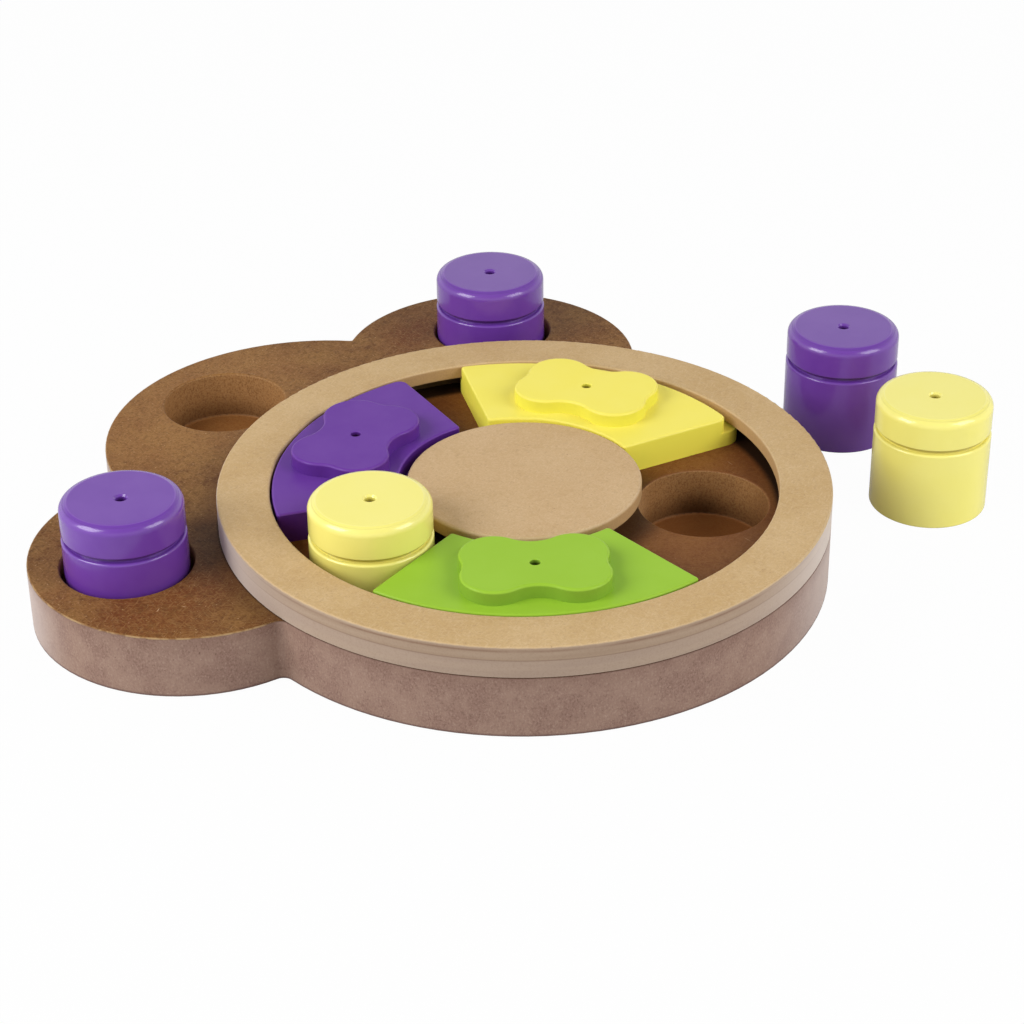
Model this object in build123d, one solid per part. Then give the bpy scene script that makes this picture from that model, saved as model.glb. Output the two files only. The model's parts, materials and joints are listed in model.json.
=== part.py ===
from build123d import *
import math
import os

# Paw-shaped treat puzzle for dogs. Millimetres and degrees, +Z up.
# The origin is the ring's axis on the underside of the board, and the toes point along +Y.

toe_axis = 90.0             # direction of the middle toe
same_place = 1e-3           # points nearer than this are one

# Board
board_thickness = 25.6
board_edge_round = 0.8
board_foot_round = 0.4      # lower edge, which is crisper
pad_notch_round = 4.0       # inner corner between the pad and a side toe
toe_notch_round = 1.0       # inner corner between two toes
side_toe_radius = 63.1
middle_toe_radius = 85.1
side_toe_angle = 48.3       # between the middle toe's axis and the line to a side toe's centre
toe_rim = 11.95             # board left outside a toe's pocket

# Pegs
peg_radius = 23.8
peg_head_radius = 23.6
peg_height = 48.7
peg_body_height = 33.6
peg_groove_width = 2.0
peg_groove_depth = 1.6
peg_crown_round = 3.6       # top edge of the head
peg_head_foot_round = 0.6   # lower edge of the head
peg_body_round = 1.0        # top edge of the body
peg_foot_round = 0.8
peg_hole_radius = 2.1
peg_hole_depth = 16.0
peg_hole_flare = 0.7        # widening of the hole at the top

# Pockets for pegs and treats
pocket_play = 1.85          # all round a centred peg
pocket_floor = 5.2          # board left under a pocket
pocket_corner_round = 1.0
side_pocket_angle = 49.8    # from the middle toe's axis
side_pocket_gap = 10.75     # from the ring to the pocket's rim
middle_pocket_gap = 9.25
track_pocket_count = 5
track_radius = 70.4         # circle through the centres of the track's pockets

# Ring and hub
peg_to_disc_gap = 0.6
peg_to_lip_gap = 5.2
lip_width = 20.6
lip_overhang = 9.0          # how far the lip reaches in over the slider's tongue
lip_thickness = 5.6
lip_edge_round = 1.0
disc_overhang = 7.5
disc_thickness = 5.7
disc_edge_round = 1.5
spacer_thickness = 7.1

# Sliders
slider_span = 76.0
tongue_headroom = 1.0       # between the tongue and the lip above it
tongue_play = 2.6           # between a centred tongue and the spacers beside it
slider_lip_play = 2.05
slider_disc_play = 2.1
slider_top_recess = 0.1     # below the top of the ring
slider_edge_round = 0.9
slider_corner_round = 1.3
worn_corner_round = 4.0     # at the clockwise end of the purple and the yellow slider
tongue_corner_round = 8.0
slider_inner_corner_round = 1.5

# Bone-shaped grips
grip_height = 5.8
grip_outset = 0.4           # beyond the circle of the track's pockets
grip_lobe_radius = 13.0
grip_lobe_x = 7.0           # lobe's centre along the ring's radius
grip_lobe_y = 15.0          # lobe's centre across it
grip_waist_dip = 4.5
grip_end_dip = 1.0
grip_edge_round = 1.1
grip_hole_radius = 2.0
grip_hole_depth = 10.0      # through the grip and into the slider
grip_hole_flare = 0.3

# Where the loose pieces lie
slider_push = 1.3           # how far out the purple and the green slider lie, towards the lip
yellow_skew = -2.4          # degrees that the yellow slider lies askew in its track
track_peg_nudge = 1.35      # the slider beside it pushes the peg across its pocket
track_peg_push = 0.9        # and away from the centre disc
right_toe_peg_nudge = 0.6
purple_peg_gap = 0.5
green_peg_gap = 0.4
purple_yellow_gap = 14.0    # degrees between the purple and yellow sliders
loose_purple_gap = 30.7     # between the ring's side and the peg's side
loose_purple_angle = -16.3
loose_yellow_gap = 28.7
loose_yellow_angle = -39.5

# Sizes that follow
pocket_radius = peg_radius + pocket_play
disc_radius = track_radius - peg_radius - peg_to_disc_gap
lip_inner_radius = track_radius + peg_radius + peg_to_lip_gap
ring_radius = lip_inner_radius + lip_width
spacer_inner_radius = lip_inner_radius + lip_overhang
hub_radius = disc_radius - disc_overhang
spacer_top = board_thickness + spacer_thickness
ring_top = spacer_top + lip_thickness
tongue_thickness = spacer_thickness - tongue_headroom
tongue_inner_radius = hub_radius + tongue_play
tongue_outer_radius = spacer_inner_radius - tongue_play
slider_inner_radius = disc_radius + slider_disc_play
slider_outer_radius = lip_inner_radius - slider_lip_play
slider_top = ring_top - slider_top_recess
tongue_top = board_thickness + tongue_thickness
grip_top = slider_top + grip_height
side_pocket_offset = ring_radius + side_pocket_gap + pocket_radius
middle_pocket_offset = ring_radius + middle_pocket_gap + pocket_radius
side_toe_offset = side_pocket_offset + pocket_radius + toe_rim - side_toe_radius
middle_toe_offset = middle_pocket_offset + pocket_radius + toe_rim - middle_toe_radius
track_peg_pocket_angle = toe_axis + 360.0 / track_pocket_count
track_peg_distance = track_radius + track_peg_push
track_peg_angle = track_peg_pocket_angle - math.degrees(track_peg_nudge / track_radius)
right_toe_peg_angle = side_pocket_angle - math.degrees(right_toe_peg_nudge / side_pocket_offset)


def angle_beside_peg(gap):
    """From the peg in the track to the middle of a slider that ends a gap away from it."""
    end_shift = slider_push * math.sin(math.radians(slider_span / 2))
    across = peg_radius + gap - end_shift
    return slider_span / 2 + math.degrees(math.asin(across / track_peg_distance))


purple_angle = track_peg_angle - angle_beside_peg(purple_peg_gap)
green_angle = track_peg_angle + angle_beside_peg(green_peg_gap)
yellow_angle = purple_angle - slider_span - purple_yellow_gap


def polar(radius, angle):
    return Vector(radius * math.cos(math.radians(angle)), radius * math.sin(math.radians(angle)))


def disc(radius, bottom, thickness):
    return Pos(0, 0, bottom) * extrude(Circle(radius), thickness)


def ring(outer, inner, bottom, thickness):
    return Pos(0, 0, bottom) * extrude(Circle(outer) - Circle(inner), thickness)


def top_edges(solid):
    return solid.faces().sort_by(Axis.Z)[-1].edges()


def nearest_vertex(shape, x, y):
    return shape.vertices().sort_by_distance((x, y, 0))[0]


# Board

def on_circle(vertex, centre, radius):
    return abs((Vector(*vertex) - centre).length - radius) < same_place


def board_outline():
    side_toes = [polar(side_toe_offset, toe_axis + side * side_toe_angle) for side in (-1, 1)]
    middle_toe = polar(middle_toe_offset, toe_axis)
    outline = Circle(ring_radius) + Pos(middle_toe) * Circle(middle_toe_radius)
    for toe in side_toes:
        outline += Pos(toe) * Circle(side_toe_radius)
    meetings = (
        (Vector(0, 0), ring_radius, pad_notch_round),
        (middle_toe, middle_toe_radius, toe_notch_round),
    )
    for toe in side_toes:
        for centre, radius, notch_round in meetings:
            corners = [
                vertex for vertex in outline.vertices()
                if on_circle(vertex, toe, side_toe_radius) and on_circle(vertex, centre, radius)
            ]
            outline = fillet(corners, notch_round)
    return outline


def pocket():
    depth = board_thickness - pocket_floor
    hole = disc(pocket_radius, pocket_floor, depth)
    return fillet(hole.edges().sort_by(Axis.Z)[0], pocket_corner_round)


def pocket_centres():
    toes = [polar(side_pocket_offset, toe_axis + side * side_pocket_angle) for side in (-1, 1)]
    toes.append(polar(middle_pocket_offset, toe_axis))
    step = 360.0 / track_pocket_count
    track = [polar(track_radius, toe_axis + step * i) for i in range(track_pocket_count)]
    return toes + track


def base_board():
    board = extrude(board_outline(), board_thickness)
    for centre in pocket_centres():
        board -= Pos(centre) * pocket()
    board = fillet(board.edges().group_by(Axis.Z)[0], board_foot_round)
    return fillet(board.edges().group_by(Axis.Z)[-1], board_edge_round)


# Ring and hub

def spacer_ring():
    return ring(ring_radius, spacer_inner_radius, board_thickness, spacer_thickness)


def lip_ring():
    lip = ring(ring_radius, lip_inner_radius, spacer_top, lip_thickness)
    return fillet(top_edges(lip), lip_edge_round)


def hub_spacer():
    return disc(hub_radius, board_thickness, spacer_thickness)


def centre_disc():
    plate = disc(disc_radius, spacer_top, disc_thickness)
    return fillet(top_edges(plate), disc_edge_round)


# Sliders

# Each slider and its grip are built lying centred along +X. The slider then turns about the
# middle of its own width, moves out along +X, and turns round the ring's axis.

def slider_place(angle, push, skew):
    return Rot(0, 0, angle) * Pos(track_radius + push) * Rot(0, 0, skew) * Pos(-track_radius)


def grip_hole():
    bore = extrude(Circle(grip_hole_radius), grip_hole_depth)
    return Pos(track_radius + grip_outset, 0, grip_top - grip_hole_depth) * bore


def slider(clockwise_round):
    section = Polyline(
        (tongue_inner_radius, board_thickness),
        (tongue_outer_radius, board_thickness),
        (tongue_outer_radius, tongue_top),
        (slider_outer_radius, tongue_top),
        (slider_outer_radius, slider_top),
        (slider_inner_radius, slider_top),
        (slider_inner_radius, tongue_top),
        (tongue_inner_radius, tongue_top),
        close=True,
    )
    plate = Rot(0, 0, -slider_span / 2) * revolve(Plane.XZ * make_face(section), Axis.Z, slider_span)
    corner_rounds = (
        (tongue_outer_radius, tongue_corner_round, tongue_corner_round),
        (slider_outer_radius, clockwise_round, slider_corner_round),
        (slider_inner_radius, slider_inner_corner_round, slider_inner_corner_round),
        (tongue_inner_radius, slider_inner_corner_round, slider_inner_corner_round),
    )
    for radius, *rounds in corner_rounds:
        for side, corner_round in zip((-1, 1), rounds):
            corner = polar(radius, side * slider_span / 2)
            edges = [
                edge for edge in plate.edges().filter_by(Axis.Z)
                if math.hypot(edge.center().X - corner.X, edge.center().Y - corner.Y) < same_place
            ]
            plate = fillet(edges, corner_round)
    plate = fillet(top_edges(plate), slider_edge_round)
    return plate - grip_hole()


def dip_centre(along, across, reach):
    """How far out the centre of the arc lies that touches two mirrored lobes and dips to reach.

    along and across give a lobe's centre, along towards the arc."""
    gap = reach - along
    radius = (gap ** 2 + across ** 2 - grip_lobe_radius ** 2) / (2 * (grip_lobe_radius - gap))
    return reach + radius


def touch_point(lobe, arc_centre):
    away = (arc_centre - lobe).normalized()
    return lobe + away * grip_lobe_radius


def grip_outline():
    waist_reach = grip_lobe_x + grip_lobe_radius - grip_waist_dip
    end_reach = grip_lobe_y + grip_lobe_radius - grip_end_dip
    waist_centre = dip_centre(grip_lobe_x, grip_lobe_y, waist_reach)
    end_centre = dip_centre(grip_lobe_y, grip_lobe_x, end_reach)
    lobe = Vector(grip_lobe_x, grip_lobe_y)
    at_waist = touch_point(lobe, Vector(waist_centre, 0))
    at_end = touch_point(lobe, Vector(0, end_centre))
    corner = lobe + ((at_waist - lobe) + (at_end - lobe)).normalized() * grip_lobe_radius

    def arc(points, x_sign, y_sign):
        return ThreePointArc(*[(point.X * x_sign, point.Y * y_sign) for point in points])

    lobe_arc = (at_waist, corner, at_end)
    waist_arc = (at_waist, Vector(waist_reach, 0), Vector(at_waist.X, -at_waist.Y))
    end_arc = (at_end, Vector(0, end_reach), Vector(-at_end.X, at_end.Y))
    edges = [arc(lobe_arc, x_sign, y_sign) for x_sign in (-1, 1) for y_sign in (-1, 1)]
    edges += [arc(waist_arc, x_sign, 1) for x_sign in (-1, 1)]
    edges += [arc(end_arc, 1, y_sign) for y_sign in (-1, 1)]
    return make_face(edges)


def grip():
    bone = Pos(track_radius + grip_outset, 0, slider_top) * extrude(grip_outline(), grip_height)
    bone = fillet(top_edges(bone), grip_edge_round) - grip_hole()
    rim = bone.edges().filter_by(GeomType.CIRCLE).sort_by(Axis.Z)[-1]
    return chamfer(rim, grip_hole_flare)


# Pegs

def peg(x, y, bottom):
    neck_radius = peg_head_radius - peg_groove_depth
    head_bottom = peg_body_height + peg_groove_width
    profile = make_face(Polyline(
        (0, 0),
        (peg_radius, 0),
        (peg_radius, peg_body_height),
        (neck_radius, peg_body_height),
        (neck_radius, head_bottom),
        (peg_head_radius, head_bottom),
        (peg_head_radius, peg_height),
        (0, peg_height),
        close=True,
    ))
    rounds = (
        (peg_radius, 0, peg_foot_round),
        (peg_radius, peg_body_height, peg_body_round),
        (peg_head_radius, head_bottom, peg_head_foot_round),
        (peg_head_radius, peg_height, peg_crown_round),
    )
    for radius, height, corner_round in rounds:
        profile = fillet(nearest_vertex(profile, radius, height), corner_round)
    turned = revolve(Plane.XZ * profile, Axis.Z)
    turned -= disc(peg_hole_radius, peg_height - peg_hole_depth, peg_hole_depth)
    rim = top_edges(turned).sort_by(SortBy.LENGTH)[0]
    turned = chamfer(rim, peg_hole_flare)
    return Pos(x, y, bottom) * turned


def peg_places():
    """Each peg's place: X, Y and the height that it stands at."""
    left_toe = polar(side_pocket_offset, toe_axis + side_pocket_angle)
    right_toe = polar(side_pocket_offset, toe_axis - right_toe_peg_angle)
    in_track = polar(track_peg_distance, track_peg_angle)
    loose_purple = polar(ring_radius + loose_purple_gap + peg_radius, loose_purple_angle)
    loose_yellow = polar(ring_radius + loose_yellow_gap + peg_radius, loose_yellow_angle)
    return {
        "peg_left_toe": (left_toe, pocket_floor),
        "peg_right_toe": (right_toe, pocket_floor),
        "peg_track": (in_track, pocket_floor),
        "peg_loose_purple": (loose_purple, 0),
        "peg_loose_yellow": (loose_yellow, 0),
    }


parts = {
    "base_board": base_board(),
    "spacer_ring": spacer_ring(),
    "lip_ring": lip_ring(),
    "hub_spacer": hub_spacer(),
    "centre_disc": centre_disc(),
}
slider_places = (
    ("purple", worn_corner_round, slider_place(purple_angle, slider_push, 0)),
    ("yellow", worn_corner_round, slider_place(yellow_angle, 0, yellow_skew)),
    ("green", slider_corner_round, slider_place(green_angle, slider_push, 0)),
)
for colour, clockwise_round, place in slider_places:
    parts["slider_" + colour] = place * slider(clockwise_round)
    parts["grip_" + colour] = place * grip()
for name, (place, bottom) in peg_places().items():
    parts[name] = peg(place.X, place.Y, bottom)

os.makedirs("parts", exist_ok=True)
for name, solid in parts.items():
    export_step(solid, "parts/" + name + ".step")
print("slider angles", round(purple_angle, 3), round(yellow_angle, 3), round(green_angle, 3))
free = 360 - (green_angle - yellow_angle) - slider_span
print("free between green and yellow", round(free, 3))
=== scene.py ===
import json
import math

import bpy
from mathutils import Matrix, Vector


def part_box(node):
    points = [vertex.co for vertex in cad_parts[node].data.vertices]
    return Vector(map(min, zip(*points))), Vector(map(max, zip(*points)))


# A paw-shaped treat puzzle for dogs, on a pale floor in soft studio light.
# Metres and degrees, and millimetres inside the materials. The origin is the ring's axis on the
# floor, +Z up, toes along +Y.

MM = 0.001
everywhere = 1e5                # a size in millimetres that reaches past the whole object

# Camera
camera_azimuth = -54.5          # direction of sight, turned from +Y about +Z
camera_elevation = 30.567
camera_roll = -0.713
camera_lens_mm = 88.905
sensor_width_mm = 36
origin_right = 0.005206         # where the camera sees the origin
origin_up = -0.019510
origin_ahead = 1.00803
nearest_seen = 0.05
farthest_seen = 50

# Light
horizon_strength = 1.04         # the sky's light on the object, low down
zenith_strength = 0.20
near_side_share = 0.78          # of the sky's light that comes from the camera's side
far_side_share = 1.15
mirrored_ceiling = 0.30         # what gloss shows overhead, where the walls are white
left_light_power = 7.6
right_light_power = 5.3
side_light_distance = 1.1
side_light_size = 0.6
side_light_elevation = 36.0
side_light_spread = 66.0        # either side of the camera

# Floor
floor_size = 12.0
floor_colour = (0.64, 0.64, 0.64)
floor_roughness = 0.9
white_in_camera = 0.975         # the rest of what the camera sees carries the object's shadow
white_in_mirrors = 0.20

# How far up a surface faces: 1 on a top, 0 on an upright side, -1 underneath
top_face = (0.35, 0.75)         # from side to top
underside = (-0.3, -0.8)
painted_wall = (0.5, 0.1)
stained_edge = ((0.12, 0.35), (0.96, 0.8))  # where a rounded edge begins, and where it ends
light_edge = ((0.2, 0.45), (0.97, 0.85))
painted_edge = ((0.15, 0.45), (0.98, 0.8))

# Boards, in millimetres
lip_radius = 99.4               # of the opening that the sliders move in
disc_tint_end = (10.0, 2.0)     # from the disc's edge, between which its warmer colour comes in
ring_shade_and_dirt_width = 14.0             # of the painted shade, with some dirt, along the ring's foot
joint_half_width = 1.1          # of the dark line where the ring is glued on
track_margin = 4.0              # from the ring's side, inside which the board is the track
ring_margin = 2.0               # from the ring's side, inside which a ring's wall is its inner one
under_disc_width = 12.0         # band of painted shade that starts under the disc's edge
under_lip = (-2.0, 1.5)         # band of painted shade, from the lip's inner wall
rim_start, rim_end = 1.0, 5.0   # from the ring's side, where the board's worn edge begins
pocket_margin = 2.0             # round a pocket, for its rounded rim
pocket_floor_band = (8.0, 6.0)  # heights between which the tint of a pocket's floor comes in
wall_foot_band = (17.0, 5.0)    # and between which painted shade darkens a pocket's wall
side_foot_band = (1.4, 0.5)     # and the painted contact shade at the foot of the board's side
side_upper_width = 8.0          # darker upper part of the board's side
side_edge_half_width = 1.0      # of the dark line along the board's upper edge
stain_reach = 40                # half height of a stain
layer_blend = 0.4               # either side of the glue line, where the ring's layers meet
sunk_blend = 0.5                # and where what lies under the lip gets painted shade
glue_half_width = 0.45
ring_edge_line = 1.7            # from the ring's top down to a line of painted shade on its side
ring_edge_half_width = 0.8
fibre_turns = (12, 74, 131)     # directions in which the fibres lie
fibre_depth = 0.02
stained_pore_depth = 0.04
light_pore_depth = 0.02
stained_roughness = (0.62, 0.46)
stained_gloss = 0.16
light_roughness = (0.62, 0.50)
light_gloss = 0.22

# Stains: centre X and Y, half length and width, direction, full core and share
pale_patch = (-10, 165, 80, 60, 0, 0.5, 0.45)
red_patches = (
    (-135, 70, 58, 34, 20, 0.2, 0.65),
    (98, 129, 30, 20, 20, 0.2, 0.7),
    (88, -56, 18, 14, 20, 0.2, 0.8),
)

# Scratches: centre X and Y, half length and direction
scratches = (
    (27.0, -85.4, 2.4, 77),
    (74.4, -49.4, 2.2, 68),
    (81.2, -60.6, 1.4, 40),
    (52.0, -84.0, 1.2, 120),
    (-138.1, 68.4, 1.5, 20),
    (-131.0, 62.0, 1.0, 100),
    (-96.0, 128.0, 1.3, 55),
)
scratch_half_width = 0.24
scratch_reach = 2

# Painted light and shade in the free track pocket: centre, half sizes, full core and share
painted_light_mark = ((26, -36, 16), (20, 20, 20), 0.2, 0.5)
painted_shade_mark = ((58, -80, 14), (24, 24, 26), 0.3, 0.5)
corner_shadow_mark = ((62, -42, 5), (16, 16, 15), 0.1, 0.7)

# Paint, in millimetres
slider_hole_radius = 2.6
slider_hole_shade = (0.3, 2.2)  # depths between which a grip's hole gets painted shade
peg_hole_radius = 2.1
peg_hole_rim = 2.35
# depths between which painted shade darkens a peg's hole
peg_hole_shade = (0.6, 2.6)
peg_top_face = (0.6, 0.3)       # depths between which the peg's top begins
peg_crown_width = 3.4           # from the edge of the flat top to the peg's side
peg_crown_slope = 0.16          # of the crown where it starts
highlight_line_half_width = 0.5           # of the painted highlight line at the edge of the flat top
groove_depth = 14.1             # from the peg's top down to the middle of the groove
groove_half_width = 1.3
groove_shade = (0.2, 1.2)       # depths into the groove between which it gets painted shade
slider_roughness = (0.30, 0.40)
slider_gloss = 0.14
peg_roughness = 0.24
peg_gloss = 0.36
peg_coat = 0.5
peg_coat_roughness = 0.09

# Marks in the paint, centre and half sizes: a paint bubble's glint painted as a white dot, and
# chips
bubble_glints = {"purple": (((-7.1, 56.9, 38.2), (0.7, 0.5, 0.6)),)}
chips = {
    "peg_track": (
        ((-65.7, -0.4, 39.8), (1.6, 1.6, 1.0)),
        ((-69.5, 0.1, 39.8), (1.4, 1.4, 0.8)),
    ),
}


def linear(red, green, blue):
    """Scene colour of an sRGB colour given from 0 to 255."""
    def channel(value):
        value = value / 255
        return value / 12.92 if value <= 0.04045 else ((value + 0.055) / 1.055) ** 2.4
    return (channel(red), channel(green), channel(blue))


# Colours of the stained board's top
stain = linear(116, 73, 34)
thin_stain = linear(138, 98, 50)
thick_stain = linear(88, 50, 20)
pale_stain = linear(162, 115, 64)
red_stain = linear(106, 50, 18)
stained_pore = linear(80, 46, 22)
stained_fibre = linear(164, 122, 74)
bare_fleck = linear(196, 160, 116)
bare_scratch = linear(206, 172, 130)
# painted shade, with some dirt, along the ring's foot
ring_shade_and_dirt = linear(66, 38, 20)
joint_line = linear(46, 24, 12)
track_stain = linear(150, 86, 42)
# painted shade where the lip and the disc cover the track
track_shadow = linear(44, 26, 14)
pocket_floor_stain = linear(172, 112, 60)

# Of its side, its pockets' walls and its worn edge
side_wood = linear(157, 129, 114)
dark_side_wood = linear(146, 117, 104)
side_pore = linear(100, 73, 62)
side_speck = linear(190, 166, 150)
side_pit = linear(84, 56, 46)
side_sheen = linear(208, 194, 188)
side_upper = linear(110, 78, 66)
side_edge_line = linear(78, 48, 38)
# painted contact shade at the foot of the side
side_foot_shade = linear(84, 62, 62)
wall_wood = linear(164, 120, 74)
wall_pore = linear(108, 70, 38)
wall_fibre = linear(184, 142, 94)
# painted light and shade on the pockets' walls
lit_wall = linear(196, 156, 112)
shaded_wall = linear(84, 46, 20)
wall_foot_shade = linear(70, 40, 18)
corner_shadow = linear(54, 30, 12)
worn_edge = linear(190, 160, 114)

# Of the light board's top
light_wood = linear(193, 160, 110)
lighter_wood = linear(202, 171, 124)
disc_wood = linear(203, 170, 133)
light_patch = linear(186, 152, 106)
light_pore = linear(176, 142, 99)
light_fibre = linear(222, 198, 162)
light_grain = linear(166, 134, 98)
light_speck = linear(134, 98, 62)

# Of its side, its inner wall and its edge
lower_layer = linear(169, 147, 130)
upper_layer = linear(165, 141, 119)
layer_streak = linear(184, 162, 140)
layer_pore = linear(138, 110, 90)
glue = linear(124, 96, 76)
# painted shade below the ring's top edge
ring_edge_shade = linear(122, 88, 66)
layer_sheen = linear(224, 213, 206)
inner_wall = linear(188, 152, 107)
inner_wall_pore = linear(160, 124, 83)
# painted shade under the lip and on undersides
shaded_wood = linear(46, 30, 18)
worn_light_edge = linear(226, 204, 170)

# Paint: the colour, a lighter one for edges, painted light (yellow) and painted shade (purple,
# green) for walls, and painted shade for holes and grooves
slider_paints = {
    "purple": {
        "colour": linear(102, 54, 152),
        "light": linear(138, 94, 184),
        "plate_wall": linear(80, 36, 126),
        "grip_wall": linear(92, 46, 140),
        "hole": linear(58, 22, 60),
    },
    "yellow": {
        "colour": linear(246, 232, 98),
        "light": linear(250, 242, 150),
        "plate_wall": linear(254, 244, 92),
        "grip_wall": linear(236, 228, 84),
        "hole": linear(120, 98, 30),
    },
    "green": {
        "colour": linear(150, 192, 52),
        "light": linear(172, 212, 84),
        "plate_wall": linear(136, 174, 50),
        "grip_wall": linear(134, 172, 54),
        "hole": linear(52, 62, 18),
    },
}
peg_paints = {
    "purple": {
        "colour": linear(106, 56, 160),
        "light": linear(146, 104, 192),
        "hole": linear(62, 24, 92),
    },
    "yellow": {
        "colour": linear(246, 236, 124),
        "light": linear(250, 243, 166),
        "hole": linear(170, 150, 52),
    },
}
peg_colours = {
    "peg_left_toe": "purple",
    "peg_right_toe": "purple",
    "peg_loose_purple": "purple",
    "peg_track": "yellow",
    "peg_loose_yellow": "yellow",
}
bubble_glint_colour = linear(225, 215, 225)
chip_colour = linear(120, 84, 50)


class Material:
    """A node material whose patterns are laid out in millimetres on the object."""

    def __init__(self, name):
        self.data = bpy.data.materials.new(name)
        self.data.use_nodes = True
        self.nodes = self.data.node_tree.nodes
        self.links = self.data.node_tree.links
        self.surface = self.nodes["Principled BSDF"]
        coordinates = self.nodes.new("ShaderNodeTexCoord")
        scale = self.nodes.new("ShaderNodeVectorMath")
        scale.operation = "SCALE"
        self.links.new(coordinates.outputs["Object"], scale.inputs[0])
        scale.inputs["Scale"].default_value = 1 / MM
        self.point = scale.outputs[0]
        self.bump = None

    def put(self, socket, value):
        """Links an output to a socket, or sets a plain value on it."""
        if isinstance(value, bpy.types.NodeSocket):
            self.links.new(value, socket)
        elif socket.type == "RGBA" and len(value) == 3:
            socket.default_value = (*value, 1)
        else:
            socket.default_value = value

    def math(self, operation, first, second=0.0):
        node = self.nodes.new("ShaderNodeMath")
        node.operation = operation
        self.put(node.inputs[0], first)
        self.put(node.inputs[1], second)
        return node.outputs[0]

    def times(self, *factors):
        product = factors[0]
        for factor in factors[1:]:
            product = self.math("MULTIPLY", product, factor)
        return product

    def band(self, value, start, end, at_start=0.0, at_end=1.0):
        """Smooth step between two amounts as value goes from start to end, up or down."""
        node = self.nodes.new("ShaderNodeMapRange")
        node.interpolation_type = "SMOOTHSTEP"
        self.put(node.inputs["Value"], value)
        node.inputs["From Min"].default_value = start
        node.inputs["From Max"].default_value = end
        node.inputs["To Min"].default_value = at_start
        node.inputs["To Max"].default_value = at_end
        return node.outputs[0]

    def line(self, value, middle, half_width, share=1.0):
        """Share where value is at the middle, nothing beyond half_width from it."""
        off = self.math("ABSOLUTE", self.math("SUBTRACT", value, middle))
        return self.band(off, half_width, 0.0, at_end=share)

    def mix(self, share, first, second):
        node = self.nodes.new("ShaderNodeMix")
        node.data_type = "RGBA"
        self.put(node.inputs["Factor"], share)
        self.put(node.inputs[6], first)     # 6, 7 and 2 are the sockets for colours
        self.put(node.inputs[7], second)
        return node.outputs[2]

    def stretched(self, size, turn=(0, 0, 0), offset=(0, 0, 0)):
        """The point from an offset, turned about X, Y and Z and divided by a size along each."""
        node = self.nodes.new("ShaderNodeMapping")
        node.vector_type = "TEXTURE"
        self.links.new(self.point, node.inputs["Vector"])
        node.inputs["Location"].default_value = offset
        node.inputs["Rotation"].default_value = [math.radians(angle) for angle in turn]
        node.inputs["Scale"].default_value = size
        return node.outputs[0]

    def noise(self, size, detail=2.0, roughness=0.5, turn=(0, 0, 0), offset=(0, 0, 0)):
        """Noise whose lumps measure about size millimetres, one number or one along each axis."""
        node = self.nodes.new("ShaderNodeTexNoise")
        size = (size, size, size) if isinstance(size, (int, float)) else size
        self.links.new(self.stretched(size, turn, offset), node.inputs["Vector"])
        node.inputs["Scale"].default_value = 1.0
        node.inputs["Detail"].default_value = detail
        node.inputs["Roughness"].default_value = roughness
        return node.outputs["Fac"]

    def patches(self, size, clear, full, share=1.0, least=0.0, **pattern):
        """Share where a noise of this size is at full, falling to the least share at clear."""
        return self.band(self.noise(size, **pattern), clear, full, least, share)

    def distance(self, centre=(0, 0, 0), size=(1, 1, everywhere), turn=0):
        """How far the point is from a centre, in sizes, or in mm from its upright axis."""
        node = self.nodes.new("ShaderNodeVectorMath")
        node.operation = "LENGTH"
        self.links.new(self.stretched(size, (0, 0, turn), centre), node.inputs[0])
        return node.outputs["Value"]

    def spot(self, centre, size, core, share, turn=0):
        """Share in the core of an oblong of these half sizes, fading to nothing at its rim."""
        return self.band(self.distance(centre, size, turn), 1.0, core, at_end=share)

    def part(self, name):
        """X, Y or Z of the point in millimetres."""
        node = self.nodes.new("ShaderNodeSeparateXYZ")
        self.links.new(self.point, node.inputs[0])
        return node.outputs[name]

    def upness(self):
        """1 on a surface that faces up, 0 on an upright one, -1 underneath."""
        geometry = self.nodes.new("ShaderNodeNewGeometry")
        node = self.nodes.new("ShaderNodeSeparateXYZ")
        self.links.new(geometry.outputs["Normal"], node.inputs[0])
        return node.outputs["Z"]

    def grazing(self):
        """0 on a surface seen face on, 1 on one seen edge on."""
        node = self.nodes.new("ShaderNodeLayerWeight")
        node.inputs["Blend"].default_value = 0.5
        return node.outputs["Facing"]

    def rounded(self, up, faces):
        """1 along rounded edges, 0 on tops and sides."""
        return self.times(self.band(up, *faces[0]), self.band(up, *faces[1]))

    def relief(self, height, depth):
        """Adds a bump of the given depth in millimetres to the surface."""
        node = self.nodes.new("ShaderNodeBump")
        node.inputs["Distance"].default_value = depth * MM
        self.put(node.inputs["Height"], height)
        if self.bump is not None:
            self.links.new(self.bump, node.inputs["Normal"])
        self.bump = node.outputs[0]
        self.links.new(self.bump, self.surface.inputs["Normal"])

    def finish(self, colour, roughness, gloss):
        self.put(self.surface.inputs["Base Color"], colour)
        self.put(self.surface.inputs["Roughness"], roughness)
        self.surface.inputs["Specular IOR Level"].default_value = gloss
        return self.data


def fibres(material, length, width, clear, full):
    """Short fibres that lie every way in the board's plane: the brightest of stretched noises."""
    size = (length, width, width)
    strongest = None
    for i, turn in enumerate(fibre_turns):
        strand = material.noise(size, detail=1, turn=(0, 0, turn), offset=(37 * i, 11 * i, 5 * i))
        strongest = strand if strongest is None else material.math("MAXIMUM", strongest, strand)
    return material.band(strongest, clear, full)


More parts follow.
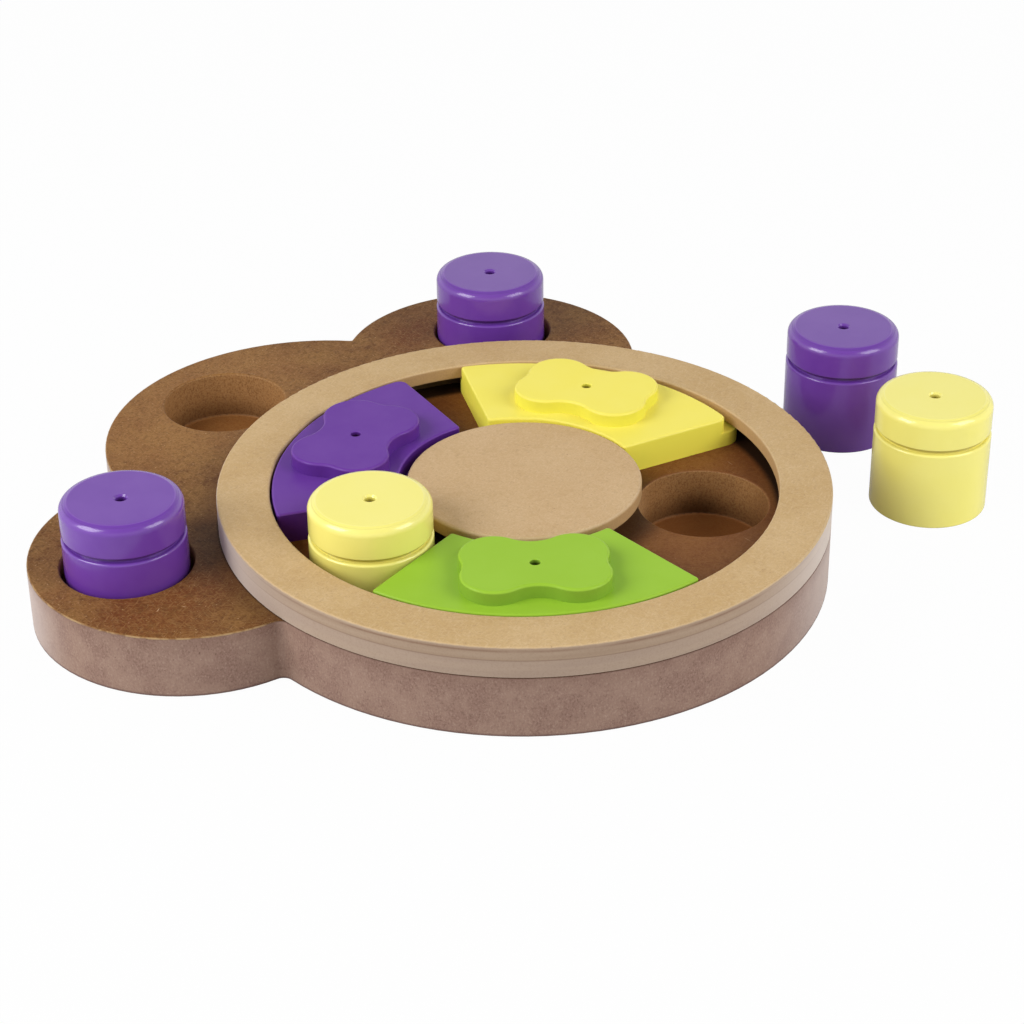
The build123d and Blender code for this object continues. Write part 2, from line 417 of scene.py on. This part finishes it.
def stained_top(board, fibre, grain, away, height):
    """Blotchy stain, with painted shade and some dirt along the ring, and painted shade where the
    lip and the disc cover the track.
    """
    blotch = board.noise(4.0, detail=4, roughness=0.72, offset=(3, 14, 0))

    def stain_spot(x, y, half_length, half_width, turn, core, share):
        size = (half_length, half_width, stain_reach)
        return board.spot((x, y, board_top), size, core, share, turn)

    cloud = board.patches(24, clear=0.32, full=0.68, detail=3, roughness=0.6)
    top = board.mix(cloud, stain, thin_stain)
    top = board.mix(board.band(blotch, 0.50, 0.36, at_end=0.62), top, thick_stain)
    top = board.mix(stain_spot(*pale_patch), top, pale_stain)
    red = board.patches(34, clear=0.56, full=0.76, share=0.5, offset=(60, 20, 0))
    for patch in red_patches:
        red = board.math("MAXIMUM", red, stain_spot(*patch))
    red = board.times(red, board.band(blotch, 0.34, 0.56, at_start=0.3))
    top = board.mix(red, top, red_stain)
    top = board.mix(board.band(grain, 0.54, 0.34, at_end=0.55), top, stained_pore)
    top = board.mix(board.times(fibre, 0.44), top, stained_fibre)
    fleck = board.patches(0.8, clear=0.70, full=0.76, share=0.6, detail=1, offset=(9, 3, 1))
    top = board.mix(fleck, top, bare_fleck)
    for x, y, half_length, turn in scratches:
        size = (half_length, scratch_half_width, scratch_reach)
        scratch = board.spot((x, y, board_top), size, core=0.5, share=0.75, turn=turn)
        top = board.mix(scratch, top, bare_scratch)
    # Painted shade, with some dirt, along the ring's foot
    ring_shade_and_dirt_mask = board.band(away, ring_radius + ring_shade_and_dirt_width, ring_radius, at_end=0.4)
    top = board.mix(ring_shade_and_dirt_mask, top, ring_shade_and_dirt)
    top = board.mix(board.line(away, ring_radius, joint_half_width, 0.85), top, joint_line)
    in_track = board.math("LESS_THAN", away, ring_radius - track_margin)
    top = board.mix(board.times(in_track, 0.35), top, track_stain)
    # Painted shade where the disc and the lip cover the track
    near_disc = board.band(away, disc_radius + under_disc_width, disc_radius, at_end=0.7)
    near_lip = board.band(away, lip_radius + under_lip[0], lip_radius + under_lip[1])
    shadowed = board.math("MAXIMUM", near_disc, board.times(near_lip, in_track))
    top = board.mix(shadowed, top, track_shadow)
    on_pocket_floor = board.times(board.band(height, *pocket_floor_band), 0.45)
    return board.mix(on_pocket_floor, top, pocket_floor_stain)


def stained_side(board, speck, height):
    """Sawn and sanded side: coarse, porous, and with a pale sheen where it is seen edge on."""
    smudge = board.noise(11, detail=3, roughness=0.6, offset=(2, 7, 5))
    side = board.mix(board.band(smudge, 0.35, 0.65), side_wood, dark_side_wood)
    patchy = board.band(smudge, 0.42, 0.60, at_start=0.45)
    pore = board.band(speck, 0.50, 0.34, at_end=0.42)
    side = board.mix(board.times(pore, patchy), side, side_pore)
    side = board.mix(board.band(speck, 0.54, 0.70, at_end=0.35), side, side_speck)
    pit = board.patches(
        (0.8, 0.8, 1.2), clear=0.72, full=0.78, share=0.6, detail=1, offset=(5, 5, 5)
    )
    side = board.mix(pit, side, side_pit)
    side = board.mix(board.band(board.grazing(), 0.45, 0.95, at_end=0.68), side, side_sheen)
    near_top = board.band(height, board_top - side_upper_width, board_top, at_end=0.22)
    side = board.mix(near_top, side, side_upper)
    upper_edge = board.line(height, board_top, side_edge_half_width, 0.85)
    side = board.mix(upper_edge, side, side_edge_line)
    # Painted contact shade at the foot of the side
    return board.mix(board.band(height, *side_foot_band, at_end=0.6), side, side_foot_shade)


def stained_wall(board, speck, fibre, height):
    """Wall of a pocket, browner than the side, with painted shade towards its foot and painted
    light and shade in the free track pocket.
    """
    wall = board.mix(board.band(speck, 0.56, 0.36, at_end=0.6), wall_wood, wall_pore)
    wall = board.mix(board.times(fibre, 0.45), wall, wall_fibre)
    # Painted light on the free pocket's left wall, painted shade on its right, at its back corner
    # and towards every pocket's foot
    wall = board.mix(board.spot(*painted_light_mark), wall, lit_wall)
    wall = board.mix(board.band(height, *wall_foot_band, at_end=0.5), wall, wall_foot_shade)
    wall = board.mix(board.spot(*painted_shade_mark), wall, shaded_wall)
    return board.mix(board.spot(*corner_shadow_mark), wall, corner_shadow)


def stained_board():
    board = Material("stained_board_look")
    up = board.upness()
    away = board.distance()
    height = board.part("Z")
    fibre = fibres(board, 2.8, 0.55, clear=0.50, full=0.76)
    grain = board.noise(0.9, detail=3, roughness=0.75)
    speck = board.noise((0.75, 0.75, 1.0), detail=3, roughness=0.68)
    nearest = None
    for x, y in pockets:
        gap = board.distance((x, y, 0))
        nearest = gap if nearest is None else board.math("MINIMUM", nearest, gap)
    in_pocket = board.math("LESS_THAN", nearest, pocket_radius + pocket_margin)
    outside = stained_side(board, speck, height)
    side = board.mix(in_pocket, outside, stained_wall(board, speck, fibre, height))
    top = stained_top(board, fibre, grain, away, height)
    colour = board.mix(board.band(up, *top_face), side, top)
    wear = {"detail": 3, "roughness": 0.6, "offset": (8, 1, 2)}
    worn = board.patches(5, clear=0.38, full=0.62, share=0.6, least=0.1, **wear)
    outer = board.band(away, ring_radius + rim_start, ring_radius + rim_end)
    outer = board.times(outer, board.math("SUBTRACT", 1.0, in_pocket))
    outer = board.math("MAXIMUM", outer, board.times(in_pocket, 0.12))
    colour = board.mix(board.times(board.rounded(up, stained_edge), worn, outer), colour, worn_edge)
    board.relief(fibre, fibre_depth)
    board.relief(grain, stained_pore_depth)
    return board.finish(colour, board.band(grain, 0.2, 0.8, *stained_roughness), stained_gloss)


def light_top(board, fibre, grain, away):
    """Lacquered bare board, somewhat warmer on the disc."""
    cloud = board.patches(30, clear=0.3, full=0.7, detail=3, roughness=0.6)
    top = board.mix(cloud, light_wood, lighter_wood)
    on_disc = board.band(away, disc_radius + disc_tint_end[0], disc_radius + disc_tint_end[1])
    top = board.mix(board.times(on_disc, 0.5), top, disc_wood)
    patch = board.patches(4.5, clear=0.50, full=0.30, share=0.30, roughness=0.6, offset=(7, 2, 0))
    top = board.mix(patch, top, light_patch)
    top = board.mix(board.band(grain, 0.54, 0.34, at_end=0.34), top, light_pore)
    top = board.mix(board.times(fibre, 0.30), top, light_fibre)
    fine = board.patches(1.6, clear=0.42, full=0.30, share=0.24, roughness=0.6, offset=(11, 6, 1))
    top = board.mix(fine, top, light_grain)
    speck = board.patches(1.1, clear=0.75, full=0.79, share=0.6, detail=1, offset=(4, 8, 2))
    return board.mix(speck, top, light_speck)


def light_side(board, grain, away, height, up):
    """Two glued layers, streaked along, with a pale sheen where they are seen edge on."""
    upper = board.band(height, glue_line - layer_blend, glue_line + layer_blend)
    side = board.mix(upper, lower_layer, upper_layer)
    streak = board.patches((50, 50, 2.6), clear=0.35, full=0.65, share=0.35)
    side = board.mix(streak, side, layer_streak)
    side = board.mix(board.band(grain, 0.55, 0.30, at_end=0.20), side, layer_pore)
    side = board.mix(board.line(height, glue_line, glue_half_width, 0.5), side, glue)
    blotchy = {"roughness": 0.6, "offset": (1, 4, 9)}
    blotch = board.patches((26, 26, 9), clear=0.35, full=0.6, share=0.55, least=0.15, **blotchy)
    # Painted shade: a patchy line below the ring's top edge
    edge_shaded = board.line(height, ring_top - ring_edge_line, ring_edge_half_width)
    side = board.mix(board.times(edge_shaded, blotch), side, ring_edge_shade)
    side = board.mix(board.band(board.grazing(), 0.35, 0.95, at_end=0.7), side, layer_sheen)
    wall = board.mix(board.band(grain, 0.60, 0.30, at_end=0.30), inner_wall, inner_wall_pore)
    inside = board.math("LESS_THAN", away, ring_radius - ring_margin)
    side = board.mix(inside, side, wall)
    # Painted shade on what lies under the lip, and on undersides
    sunk = board.times(board.band(height, glue_line + sunk_blend, glue_line - sunk_blend), inside)
    shadowed = board.math("MAXIMUM", sunk, board.band(up, *underside))
    return board.mix(board.times(shadowed, 0.85), side, shaded_wood)


def light_board():
    board = Material("light_board_look")
    up = board.upness()
    away = board.distance()
    height = board.part("Z")
    fibre = fibres(board, 2.4, 0.5, clear=0.52, full=0.78)
    grain = board.noise(0.8, detail=3, roughness=0.7)
    side = light_side(board, grain, away, height, up)
    colour = board.mix(board.band(up, *top_face), side, light_top(board, fibre, grain, away))
    colour = board.mix(board.times(board.rounded(up, light_edge), 0.18), colour, worn_light_edge)
    board.relief(grain, light_pore_depth)
    return board.finish(colour, board.band(grain, 0.2, 0.8, *light_roughness), light_gloss)


def paint(name, colours):
    """A coat of paint with soft clouds and slightly lighter edges: the material and its colour."""
    coat = Material(name)
    cloud = coat.patches(18, clear=0.3, full=0.7, share=0.10)
    shade = coat.mix(cloud, colours["colour"], colours["light"])
    edge = coat.times(coat.rounded(coat.upness(), painted_edge), 0.08)
    return coat, coat.mix(edge, shade, colours["light"])


def slider_paint(name, colours, hole, marks):
    """Semi-gloss paint with painted light and shade on the walls, and painted shade inside the
    grip's hole.
    """
    coat, shade = paint(name, colours)
    x, y, top = hole
    height = coat.part("Z")
    on_grip = coat.math("GREATER_THAN", height, slider_top)
    # Painted light on yellow walls, painted shade on purple and green ones
    wall = coat.mix(on_grip, colours["plate_wall"], colours["grip_wall"])
    shade = coat.mix(coat.band(coat.upness(), *painted_wall), shade, wall)
    # Painted shade inside the grip's hole
    bore = coat.math("LESS_THAN", coat.distance((x, y, 0)), slider_hole_radius)
    below = coat.band(height, top - slider_hole_shade[0], top - slider_hole_shade[1], at_end=0.85)
    shade = coat.mix(coat.times(bore, below), shade, colours["hole"])
    # A paint bubble's glint, painted as a white dot
    for centre, size in marks:
        shade = coat.mix(coat.spot(centre, size, core=0.3, share=0.8), shade, bubble_glint_colour)
    roughness = coat.band(coat.noise(6, offset=(3, 3, 3)), 0.3, 0.7, *slider_roughness)
    return coat.finish(shade, roughness, slider_gloss)


def peg_paint(name, colours, place, marks):
    """Gloss paint, with painted shade in the groove and the hole, and a crisp edge round the flat
    top with a painted highlight line along it.
    """
    coat, shade = paint(name, colours)
    x, y, top, radius = place
    away = coat.distance((x, y, 0))
    height = coat.part("Z")
    flat_radius = radius - peg_crown_width
    on_top = coat.band(height, top - peg_top_face[0], top - peg_top_face[1])
    # Painted highlight line round the flat top
    highlight_line = coat.times(coat.line(away, flat_radius, highlight_line_half_width), on_top)
    shade = coat.mix(coat.times(highlight_line, 0.35), shade, colours["light"])
    # Painted shade in the hole
    below = coat.band(height, top - peg_hole_shade[0], top - peg_hole_shade[1])
    in_hole = coat.times(coat.band(away, peg_hole_rim, peg_hole_radius), below)
    shade = coat.mix(coat.times(in_hole, 0.8), shade, colours["hole"])
    # Painted shade in the groove
    groove = coat.times(
        coat.band(away, radius - groove_shade[0], radius - groove_shade[1]),
        coat.line(height, top - groove_depth, groove_half_width),
    )
    shade = coat.mix(coat.times(groove, 0.8), shade, colours["hole"])
    for centre, size in marks:
        flake = coat.patches(0.9, clear=0.48, full=0.56, roughness=0.6)
        chip = coat.spot(centre, size, core=0.5, share=1.0)
        shade = coat.mix(coat.times(chip, flake), shade, chip_colour)
    slope = coat.math("MAXIMUM", coat.math("SUBTRACT", away, flat_radius), 0.0)
    coat.relief(coat.times(slope, on_top, -1.0), peg_crown_slope)
    coat.surface.inputs["Coat Weight"].default_value = peg_coat
    coat.surface.inputs["Coat Roughness"].default_value = peg_coat_roughness
    return coat.finish(shade, peg_roughness, peg_gloss)


def camera():
    elevation = math.radians(camera_elevation)
    ahead = Vector((0, math.cos(elevation), -math.sin(elevation)))
    level_right = Vector((1, 0, 0))
    level_up = level_right.cross(ahead)
    roll = Matrix.Rotation(math.radians(camera_roll), 3, -ahead)
    right = roll @ level_right
    up = roll @ level_up
    place = -(right * origin_right + up * origin_up + ahead * origin_ahead)
    axes = Matrix((right, up, -ahead)).transposed()
    data = bpy.data.cameras.new("camera")
    data.lens = camera_lens_mm
    data.sensor_width = sensor_width_mm
    data.clip_start = nearest_seen
    data.clip_end = farthest_seen
    seen_from = bpy.data.objects.new("camera", data)
    turn = Matrix.Rotation(math.radians(camera_azimuth), 4, "Z")
    seen_from.matrix_world = turn @ (Matrix.Translation(place) @ axes.to_4x4())
    bpy.context.scene.collection.objects.link(seen_from)
    bpy.context.scene.camera = seen_from


def area_light(name, azimuth, power):
    """A square light that shines on the object, placed by its direction as the camera sees it."""
    turn = math.radians(azimuth + camera_azimuth)
    rise = math.radians(side_light_elevation)
    level = math.cos(rise)
    away = Vector((math.sin(turn) * level, -math.cos(turn) * level, math.sin(rise)))
    data = bpy.data.lights.new(name, "AREA")
    data.size = side_light_size
    data.energy = power
    light = bpy.data.objects.new(name, data)
    light.location = away * side_light_distance
    light.rotation_mode = "QUATERNION"
    light.rotation_quaternion = away.to_track_quat("Z", "Y")
    bpy.context.scene.collection.objects.link(light)


def tree_math(tree, operation, first, second):
    node = tree.nodes.new("ShaderNodeMath")
    node.operation = operation
    for socket, value in zip(node.inputs, (first, second)):
        if isinstance(value, bpy.types.NodeSocket):
            tree.links.new(value, socket)
        else:
            socket.default_value = value
    return node.outputs[0]


def white_share(tree, in_camera, in_mirrors):
    """How much of the plain white shows to the camera, and to glossy and clear surfaces."""
    ray = tree.nodes.new("ShaderNodeLightPath").outputs
    seen = tree_math(tree, "MULTIPLY", ray["Is Camera Ray"], in_camera)
    mirrored = tree_math(tree, "MAXIMUM", ray["Is Glossy Ray"], ray["Is Transmission Ray"])
    mirrored = tree_math(tree, "MULTIPLY", mirrored, in_mirrors)
    return tree_math(tree, "MAXIMUM", seen, mirrored)


def by_direction(tree, axis, low_value, high_value, low, high):
    """A value of the sky that goes from one to another as its direction turns towards an axis."""
    direction = tree.nodes.new("ShaderNodeTexCoord")
    along = tree.nodes.new("ShaderNodeVectorMath")
    along.operation = "DOT_PRODUCT"
    tree.links.new(direction.outputs["Generated"], along.inputs[0])
    along.inputs[1].default_value = axis
    ramp = tree.nodes.new("ShaderNodeMapRange")
    ramp.interpolation_type = "SMOOTHSTEP"
    tree.links.new(along.outputs["Value"], ramp.inputs["Value"])
    ramp.inputs["From Min"].default_value = low
    ramp.inputs["From Max"].default_value = high
    ramp.inputs["To Min"].default_value = low_value
    ramp.inputs["To Max"].default_value = high_value
    return ramp.outputs[0]


def sky():
    world = bpy.data.worlds.new("white_studio")
    bpy.context.scene.world = world
    world.use_nodes = True
    tree = world.node_tree
    lighting = tree.nodes["Background"]
    lighting.inputs["Color"].default_value = (1, 1, 1, 1)
    zenith = (0, 0, 1)
    turn = math.radians(camera_azimuth)
    near_side = (math.sin(turn), -math.cos(turn), 0)
    strength = by_direction(tree, zenith, horizon_strength, zenith_strength, low=0.1, high=0.9)
    side_share = by_direction(tree, near_side, far_side_share, near_side_share, low=0.0, high=0.9)
    tree.links.new(tree_math(tree, "MULTIPLY", strength, side_share), lighting.inputs["Strength"])
    white = tree.nodes.new("ShaderNodeBackground")
    white.inputs["Color"].default_value = (1, 1, 1, 1)
    mirrored = by_direction(tree, zenith, 1.0, mirrored_ceiling, low=0.25, high=0.70)
    tree.links.new(mirrored, white.inputs["Strength"])
    mix = tree.nodes.new("ShaderNodeMixShader")
    tree.links.new(white_share(tree, in_camera=1.0, in_mirrors=1.0), mix.inputs[0])
    tree.links.new(lighting.outputs[0], mix.inputs[1])
    tree.links.new(white.outputs[0], mix.inputs[2])
    tree.links.new(mix.outputs[0], tree.nodes["World Output"].inputs["Surface"])


def floor():
    bpy.ops.mesh.primitive_plane_add(size=floor_size)
    ground = bpy.context.object
    ground.name = "floor"
    look = bpy.data.materials.new("floor_look")
    look.use_nodes = True
    tree = look.node_tree
    surface = tree.nodes["Principled BSDF"]
    surface.inputs["Base Color"].default_value = (*floor_colour, 1)
    surface.inputs["Roughness"].default_value = floor_roughness
    white = tree.nodes.new("ShaderNodeEmission")
    white.inputs["Strength"].default_value = 1
    mix = tree.nodes.new("ShaderNodeMixShader")
    tree.links.new(white_share(tree, white_in_camera, white_in_mirrors), mix.inputs[0])
    tree.links.new(surface.outputs[0], mix.inputs[1])
    tree.links.new(white.outputs[0], mix.inputs[2])
    tree.links.new(mix.outputs[0], tree.nodes["Material Output"].inputs["Surface"])
    ground.data.materials.append(look)


def middle_mm(low, high):
    """The middle of a box in X and Y, in millimetres."""
    return (low[0] + high[0]) / 2 / MM, (low[1] + high[1]) / 2 / MM


def box_mm(node):
    """The node's middle in X and Y, its top, and half its width, in millimetres."""
    low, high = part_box(node)
    return *middle_mm(low, high), high[2] / MM, (high[0] - low[0]) / 2 / MM


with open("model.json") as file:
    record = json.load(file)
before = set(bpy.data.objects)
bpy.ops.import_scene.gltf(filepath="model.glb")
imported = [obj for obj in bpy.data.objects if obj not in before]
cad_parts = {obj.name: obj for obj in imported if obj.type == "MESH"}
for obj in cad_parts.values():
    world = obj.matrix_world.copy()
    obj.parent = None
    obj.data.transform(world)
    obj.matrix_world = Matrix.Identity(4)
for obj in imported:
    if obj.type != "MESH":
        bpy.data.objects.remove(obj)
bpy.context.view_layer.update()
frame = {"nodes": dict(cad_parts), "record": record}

board_top = box_mm("base_board")[2]
slider_top = box_mm("slider_green")[2]
glue_line = box_mm("spacer_ring")[2]
ring_top, ring_radius = box_mm("lip_ring")[2:]
disc_radius = box_mm("centre_disc")[3]
pockets = [box_mm(name)[:2] for name in ("peg_left_toe", "peg_right_toe", "peg_track")]
for mount in frame["record"]["mounts"]:
    if mount["name"] == "middle_toe_pocket":
        pockets.append((mount["pos_m"][0] / MM, mount["pos_m"][1] / MM))
        pocket_radius = mount["dims"]["r_mm"]
for opening in frame["record"]["physics"]["openings"]:
    if "pocket" in opening["name"]:
        pockets.append(middle_mm(*opening["box_m"]))

looks = {"base_board": stained_board()}
looks.update(dict.fromkeys(("spacer_ring", "lip_ring", "hub_spacer", "centre_disc"), light_board()))
for colour, paint_colours in slider_paints.items():
    hole = box_mm("grip_" + colour)[:3]
    look = slider_paint(colour + "_slider_look", paint_colours, hole, bubble_glints.get(colour, ()))
    looks["slider_" + colour] = look
    looks["grip_" + colour] = look
for name, colour in peg_colours.items():
    looks[name] = peg_paint(name + "_look", peg_paints[colour], box_mm(name), chips.get(name, ()))
for name, look in looks.items():
    for slot in frame["nodes"][name].material_slots:
        slot.material = look

sky()
floor()
camera()
area_light("left_softbox", -side_light_spread, left_light_power)
area_light("right_softbox", side_light_spread, right_light_power)

bpy.context.scene.view_settings.view_transform = "Standard"
